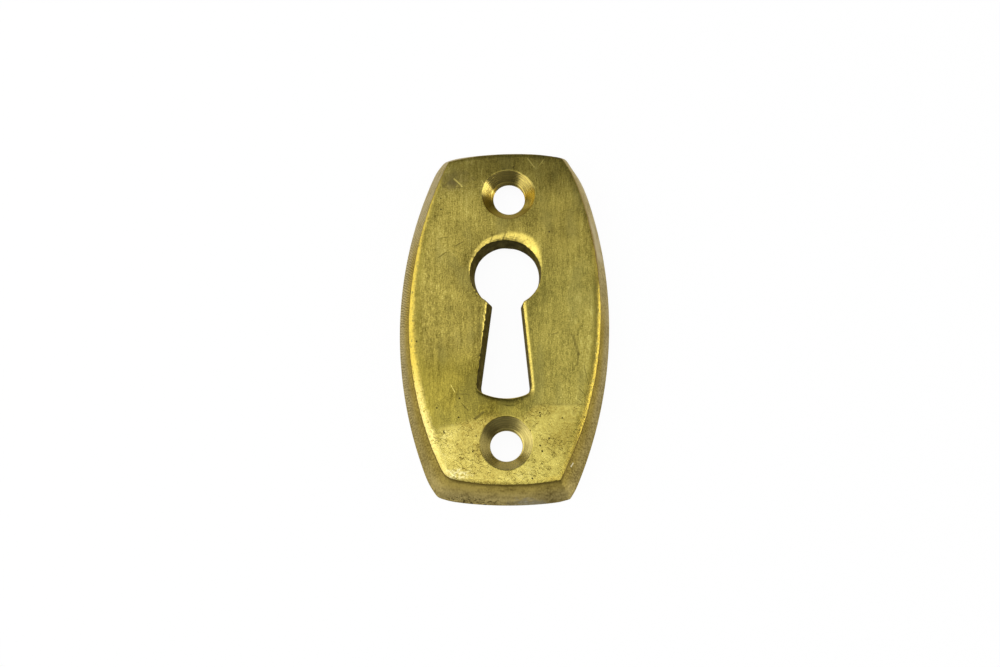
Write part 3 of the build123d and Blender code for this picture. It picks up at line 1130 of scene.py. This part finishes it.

# %% [markdown]
# ## Colour of the face
#
# Tone runs from dark olive to bare gold along a colour ramp, and the cast foot has a ramp of its own.
# From there each line lays one more layer over the colour: olive drifts, stains, a painted cream
# highlight, painted shade along the edges and round the keyhole, the worn edge with its painted highlight,
# the keyhole's lip with a painted glint at its foot, and last the scratches that cut through them all.

# %% Wear, painted highlight and painted shade along the edges
bevel, lip, cone, wall, back_side = (mask(name) for name in ("bevel", "lip", "cone", "wall", "back"))
# The edge's mask holds how rubbed it is and where its painted highlight lies.
wear_and_highlight = mask("edge_wear_and_highlight")
edge_run = total(mask("edge_run"), swing(noise(0.3, 2), 0.8))
chips = between(noise(0.45, 2), 0.60, 0.68)
# Gold of the worn edge, also painted on as the edge's highlight.
worn_and_highlit_edge = times(wear_and_highlight, between(edge_run, 1.35, 0.15),
                    total(0.85, swing(noise(0.22, 2), 1.8), times(chips, -0.9)))
# Painted shade: a dark band just inside the edge's highlight.
painted_shade_inside_edge = times(wear_and_highlight, between(edge_run, 0.8, 1.3), between(edge_run, 2.6, 1.4))
# Painted shade along the edges where they are not rubbed bright.
painted_edge_shade = times(calc("SUBTRACT", 1, wear_and_highlight), between(edge_run, 1.3, 0.1))
# Painted shade round the keyhole and along the edges, and the tarnish.
shade_and_tarnish = total(times(mask("keyhole_shade"), -0.34), times(painted_edge_shade, -0.12), times(tarnish, -1))
calm = calc("SUBTRACT", 1, times(calmed, 2))
print("edges: nodes so far", len(nodes))

# %% Layers of the face
FACE_RAMP = ((0.0, (0.11, 0.087, 0.017)), (0.35, (0.26, 0.21, 0.043)),
             (0.65, (0.40, 0.328, 0.072)), (1.0, (0.62, 0.53, 0.155)))
CAST_RAMP = ((0.0, (0.14, 0.095, 0.016)), (0.3, (0.26, 0.195, 0.036)),
             (0.65, (0.45, 0.375, 0.090)), (1.0, (0.62, 0.54, 0.20)))
OLIVE, GREENED, DULL = (0.22, 0.19, 0.052), (0.25, 0.268, 0.06), (0.15, 0.118, 0.045)
# The first is the colour of the painted cream highlight.
HIGHLIGHT_CREAM, WARMER = (0.75, 0.69, 0.36), (1.0, 1.0, 0.76)
# Painted shade inside the edge, the gold of the worn edge, and its painted cream highlight.
EDGE_SHADE_OLIVE, EDGE_GOLD, EDGE_HIGHLIGHT_CREAM = (0.22, 0.18, 0.028), (0.53, 0.390, 0.060), (0.58, 0.48, 0.16)
LIP_GOLD, SCRATCHED, BARE = (0.60, 0.475, 0.105), (0.11, 0.088, 0.02), (0.74, 0.62, 0.16)

colour = graded(total(slow_tone, times(fine_tone, calm), shade_and_tarnish), FACE_RAMP)
colour = tint(times(between(noise((2.5, 6.0, 2.5), 1), 0.48, 0.66), 0.38), colour, OLIVE)
colour = tint(times(dull, 0.4), colour, DULL)
warmed = times(between(y_mm, -3, -8), between(x_mm, 4, 0))
colour = tint(warmed, colour, vector("MULTIPLY", colour, WARMER))
colour = tint(cast, colour, graded(total(cast_tone, shade_and_tarnish), CAST_RAMP))
colour = tint(times(between(x_mm, -2, 5), between(y_mm, 12, 4), 0.12), colour, GREENED)
# The painted cream highlight at the lower left.
colour = tint(times(cream_highlight, 0.6), colour, HIGHLIGHT_CREAM)
# The painted shade band inside the edge's highlight.
colour = tint(times(painted_shade_inside_edge, 0.5), colour, EDGE_SHADE_OLIVE)
# The edge's gold, turning to a painted cream highlight at the lower left.
edge_gold_and_highlight = tint(times(between(y_mm, -5, -12), between(x_mm, 2, -2)), EDGE_GOLD, EDGE_HIGHLIGHT_CREAM)
colour = tint(worn_and_highlit_edge, colour, edge_gold_and_highlight)
# Gold of the key-worn lip, and the painted glint along the wall at the slot's foot.
colour = tint(times(lip, total(0.9, swing(noise(0.22, 2), 2.0), times(chips, -0.5))), colour, LIP_GOLD)
colour = tint(times(dark_marks, 0.42), colour, SCRATCHED)
colour = tint(times(light_marks, 0.75), colour, BARE)
print("face: ramps of", len(FACE_RAMP), "and", len(CAST_RAMP), "stops")

# %% [markdown]
# ## Colour of the cones
#
# The drill left the cones brighter than the face, and the foot cone has dulled more than the top one.
# A second material on those faces would end in a hard line. The soft mask of the cones mixes their
# colour in instead, and the rings choose between its dark and its gold.

# %% Layers of the cones
CONE_GOLD, CONE_DARK = (0.62, 0.49, 0.122), (0.31, 0.24, 0.06)
DULL_CONE_GOLD, DULL_CONE_DARK = (0.52, 0.43, 0.135), (0.23, 0.185, 0.055)
# Colours of the painted highlight and the painted shade on the cones.
CONE_HIGHLIGHT, CONE_SHADE = (0.82, 0.71, 0.31), (0.09, 0.07, 0.02)

dull_cone = between(y_mm, 5, -5)
cone_dark = tint(dull_cone, CONE_DARK, DULL_CONE_DARK)
cone_gold = tint(dull_cone, CONE_GOLD, DULL_CONE_GOLD)
cone_tone = tint(between(rings, 0.3, 0.7), cone_dark, cone_gold)
cone_tone = tint(foot_cone_highlight, cone_tone, CONE_HIGHLIGHT)
# The cones take their ring tones, with painted shade laid over them.
colour = tint(cone, colour, tint(times(cone_shade, 0.85), cone_tone, CONE_SHADE))
print("cones: nodes so far", len(nodes))

# %% [markdown]
# ## Colour of the bevel
#
# The bevel runs from warm brown near the face to grey below and at the upper ends, with a painted pale
# reflection high on both sides, painted shade in its crease and a reddish painted shade at the upper
# right. One tone chooses a place between the dark and the light of each, so the grain shows through all of
# it.

# %% Layers of the bevel
WARM_FILED = (0.15, 0.108, 0.023), (0.45, 0.345, 0.085)
GREY_FILED = (0.17, 0.14, 0.066), (0.51, 0.44, 0.25)
# The first of these is a painted pale reflection high on the bevel.
PALE_REFLECTION, BLOOM, FLECK = (0.48, 0.43, 0.30), (0.22, 0.205, 0.155), (0.48, 0.45, 0.36)
# Colours of painted shade in the crease at the top of the bevel.
CREASE_SHADE, FOOT_CREASE_SHADE = (0.13, 0.075, 0.018), (0.10, 0.075, 0.013)
# The first of these is a reddish painted shade; the nick and the dirt are the bevel's own colour.
REDDISH_SHADE, NICKED, DIRT = (0.19, 0.115, 0.030), (0.85, 0.80, 0.60), (0.03, 0.022, 0.008)

grey_below = times(between(bevel_drop, 0.15, 0.8), total(0.35, times(between(y_mm, -18, -4), 0.6)))
grey_right = calc("MAXIMUM", grey_below, times(between(x_mm, 3, 6), between(y_mm, -2, 5), 0.9))
greyed = calc("MAXIMUM", grey_right, times(between(x_mm, -3, -5), between(y_mm, 6, 13), 0.8))
# Painted pale reflection high on the right and left bevels.
right_reflection_bands = total(times(between(y_mm, 7, 9), between(y_mm, 15, 12), between(bevel_drop, 0.05, 0.3)),
                   times(between(y_mm, 12, 15), between(bevel_drop, 0.45, 0.8), 0.6))
both_reflection_places = total(times(right_reflection_bands, between(x_mm, 3, 6)),
                   times(between(x_mm, -3, -5), between(y_mm, 9, 14), 0.7))
painted_pale_reflection = times(both_reflection_places, between(noise(1.4, 3), 0.30, 0.60), 0.8)
filed = tint(greyed, tint(bevel_tone, *WARM_FILED), tint(bevel_tone, *GREY_FILED))
filed = tint(painted_pale_reflection, filed, PALE_REFLECTION)
filed = tint(times(bloom, 0.6), filed, BLOOM)
filed = tint(times(flecks, 0.4), filed, FLECK)
# Painted shade in the crease at the top of the bevel, deeper and wider along the foot end.
filed = tint(times(between(bevel_drop, 0.10, 0.02), 0.6), filed, CREASE_SHADE)
filed = tint(times(between(bevel_drop, 0.20, 0.03), at_foot_end, 0.7), filed, FOOT_CREASE_SHADE)
# A reddish painted shade at the top of the bevel at the upper right.
upper_right_crease_shade = times(between(bevel_drop, 0.25, 0.05), between(x_mm, 3, 6), between(y_mm, 3, 8), 0.7)
filed = tint(upper_right_crease_shade, filed, REDDISH_SHADE)
filed = tint(times(specks, 0.8), filed, DIRT)
filed = tint(bevel_nick, filed, NICKED)
colour = tint(bevel, colour, filed)
print("bevel: nodes so far", len(nodes))

# %% [markdown]
# ## Colour of the openings and the back
#
# The walls of the openings are painted near black, as the shade inside them, dirt fills the pits, and
# the back was never cleaned. These layers come last, over everything else.

# %% Layers of the back, the wall and the pits
BACK_RAW = (0.28, 0.21, 0.06)
# Painted shade of the openings' walls, near black with lighter streaks.
WALL_SHADE_DARK, WALL_SHADE_LIGHTER = (0.034, 0.029, 0.012), (0.085, 0.072, 0.027)

colour = tint(times(back_side, 0.85), colour, BACK_RAW)
# The walls are painted near black, as the shade inside the openings.
colour = tint(wall, colour, tint(between(noise(0.7, 3), 0.32, 0.78), WALL_SHADE_DARK, WALL_SHADE_LIGHTER))
colour = tint(times(pitted, 0.85), colour, DIRT)
print("colour: nodes so far", len(nodes))

# %% [markdown]
# ## Roughness, relief and the metal
#
# The same masks choose how blurred a reflection is and how the surface stands up or sinks in, in
# millimetres. Displacing the mesh for marks this fine would need millions of points, so a bump node
# tilts the shading instead. The Principled shader as pure metal then needs only colour, roughness and
# that bump.

# %% Roughness and relief
GROUND_ROUGH, CAST_ROUGH, WORN_ROUGH = 0.40, 0.42, 0.34
CONE_ROUGH, DULL_CONE_ROUGH = 0.22, 0.36
BEVEL_ROUGH, DIRTY_ROUGH = 0.50, 0.58
SCRATCH_DEPTH, PIT_DEPTH = -0.012, -0.06
WORN_GRAIN, RING_HEIGHT = 0.04, 0.03

worn = calc("MAXIMUM", worn_and_highlit_edge, lip)
roughness = shift(cast, GROUND_ROUGH, CAST_ROUGH)
roughness = shift(worn, roughness, WORN_ROUGH)
roughness = shift(cone, roughness, shift(dull_cone, CONE_ROUGH, DULL_CONE_ROUGH))
roughness = shift(bevel, roughness, BEVEL_ROUGH)
roughness = shift(calc("MAXIMUM", wall, back_side), roughness, DIRTY_ROUGH)
relief = shift(cast, ground_relief, cast_relief)
relief = total(relief, times(dark_marks, SCRATCH_DEPTH))
relief = total(relief, times(calc("MAXIMUM", lip, worn_and_highlit_edge), grain, WORN_GRAIN))
relief = shift(cone, relief, times(rings, RING_HEIGHT))
relief = shift(bevel, relief, bevel_relief)
relief = shift(pitted, relief, PIT_DEPTH)
print("relief: nodes so far", len(nodes))

# %% Brass shader
bump = nodes.new("ShaderNodeBump")
put(bump.inputs["Distance"], MM)
put(bump.inputs["Height"], relief)
shader = nodes["Principled BSDF"]
put(shader.inputs["Metallic"], 1.0)
put(shader.inputs["Specular Tint"], (0.85, 0.72, 0.45, 1))
put(shader.inputs["Base Color"], colour)
put(shader.inputs["Roughness"], roughness)
put(shader.inputs["Normal"], bump.outputs[0])
mesh.materials.append(brass)
print("finish:", len(nodes), "nodes")

# %% [markdown]
# ## White table
#
# The plate lies on a plain white table. Lighting it until it turns white would drown the plate in
# light. Instead the table glows white for the camera and for reflections, and only a small share of
# its tone comes from the lamps, so the plate keeps a faint shadow round its rim.

# %% Table
TABLE_SIZE = 1.2
TABLE_LIT = 0.05               # share of the table's tone that comes from the lamps, and can be shaded
TABLE_GREY = 0.8
table_half = TABLE_SIZE / 2
table_corners = [(-table_half, -table_half, 0), (table_half, -table_half, 0),
                 (table_half, table_half, 0), (-table_half, table_half, 0)]
table_mesh = bpy.data.meshes.new("white_table")
table_mesh.from_pydata(table_corners, [], [(0, 1, 2, 3)])
table = bpy.data.objects.new("white_table", table_mesh)
bpy.context.scene.collection.objects.link(table)
print("table:", TABLE_SIZE, "m square")

# %% White of the table
paper = bpy.data.materials.new("white_paper")
paper.use_nodes = True
# From here on the helpers add their nodes to the paper
nodes, links = paper.node_tree.nodes, paper.node_tree.links
nodes.clear()
output = nodes.new("ShaderNodeOutputMaterial")
diffuse = nodes.new("ShaderNodeBsdfDiffuse")
put(diffuse.inputs["Color"], (TABLE_GREY, TABLE_GREY, TABLE_GREY, 1))
glow = nodes.new("ShaderNodeEmission")
put(glow.inputs["Strength"], 1.0)
seen = nodes.new("ShaderNodeLightPath")
mirrored = calc("MAXIMUM", seen.outputs["Is Camera Ray"], seen.outputs["Is Glossy Ray"])
shown = calc("MAXIMUM", mirrored, seen.outputs["Is Transmission Ray"])
blend = nodes.new("ShaderNodeMixShader")
put(blend.inputs[0], times(shown, 1 - TABLE_LIT))
put(blend.inputs[1], diffuse.outputs[0])
put(blend.inputs[2], glow.outputs[0])
put(output.inputs["Surface"], blend.outputs[0])
table_mesh.materials.append(paper)
print("paper:", len(nodes), "nodes")

# %% [markdown]
# ## Lamps
#
# Metal looks like what it mirrors, so the lamps are chosen for their reflections. Large softboxes at
# the left, in front and overhead give the face its even glow, one at the right brightens the edges
# that lean its way, and two low strips graze the steep bevels. A lamp is set by its radiance, the
# brightness of its reflection, because that stays the same when its size changes.

# %% Lamps and surroundings
SKY = 0.15                     # grey of the room around
# Name, place in metres, width, depth and radiance
SOFTBOXES = [("left_softbox", (-0.40, 0.0, 0.33), 0.55, 0.80, 2.3),
             ("front_softbox", (0.14, -0.155, 0.60), 0.74, 0.33, 1.90),
             ("right_softbox", (0.46, 0.16, 0.18), 0.18, 0.40, 3.8),
             ("overhead_softbox", (-0.06, 0.083, 0.60), 0.54, 0.27, 2.20),
             ("low_right_softbox", (0.59, -0.10, 0.048), 0.085, 0.80, 3.3),
             ("low_left_softbox", (-0.46, -0.386, 0.055), 0.07, 0.56, 0.9)]


def softbox(name, place, width, depth, radiance):
    """Area lamp at a place in metres, turned to the plate. A flat lamp of area A that glows with a
    given radiance gives pi times A times that radiance in watts."""
    lamp = bpy.data.lights.new(name, "AREA")
    lamp.shape = "RECTANGLE"
    lamp.size, lamp.size_y = width, depth
    lamp.energy = math.pi * width * depth * radiance
    holder = bpy.data.objects.new(name, lamp)
    back_dir = unit(np.array(place, float))
    side = unit(np.cross((0, 1, 0), back_dir))
    turn = np.eye(4)
    turn[:3, :3] = np.stack([side, np.cross(back_dir, side), back_dir], axis=-1)
    turn[:3, 3] = place
    holder.matrix_world = Matrix(turn.tolist())
    bpy.context.scene.collection.objects.link(holder)
    return lamp.energy


watts = sum(softbox(*lamp_settings) for lamp_settings in SOFTBOXES)
world = bpy.data.worlds.new("studio")
world.use_nodes = True
world.node_tree.nodes["Background"].inputs["Color"].default_value = (SKY, SKY, SKY, 1)
bpy.context.scene.world = world
print("lamps:", len(SOFTBOXES), "with", round(watts, 2), "watts in all")

# %% [markdown]
# ## Camera
#
# The plate is seen almost straight on, from a little towards its foot. The camera is placed by angles
# off the face's normal and by its distance. Its lens follows from the scale of the picture: how many
# pixels a millimetre of the face takes up, in a picture 1000 pixels wide.

# %% Camera
TILT = math.radians(19)        # off the face's normal, towards the foot
SWING = math.radians(1.257)    # to the right of the plate's length
ROLL_TURN = math.radians(0.78)   # the plate's length stands this far clockwise in the picture
DISTANCE = 0.353
FOCUS = np.array([-0.488, -2.186, height]) * MM
PIXELS_PER_MM = 8.135          # at the face
PICTURE_WIDTH = 1000           # pixels
SENSOR = 36                    # mm
LENS = PIXELS_PER_MM * DISTANCE / MM / PICTURE_WIDTH * SENSOR

camera_data = bpy.data.cameras.new("camera")
camera_data.sensor_width = SENSOR
camera_data.lens = LENS
camera_data.clip_start = 0.01
camera = bpy.data.objects.new("camera", camera_data)
backward = np.array([math.sin(SWING) * math.sin(TILT), -math.cos(SWING) * math.sin(TILT), math.cos(TILT)])
level_right = unit(np.cross((0, 1, 0), backward))
level_up = np.cross(backward, level_right)
up = level_up * math.cos(ROLL_TURN) - level_right * math.sin(ROLL_TURN)
pose = np.eye(4)
pose[:3, :3] = np.stack([np.cross(up, backward), up, backward], axis=-1)
pose[:3, 3] = FOCUS + backward * DISTANCE
camera.matrix_world = Matrix(pose.tolist())
bpy.context.scene.collection.objects.link(camera)
bpy.context.scene.camera = camera
bpy.context.scene.view_settings.view_transform = "Standard"
print("camera at", pose[:3, 3].round(4), "lens", round(LENS, 2))
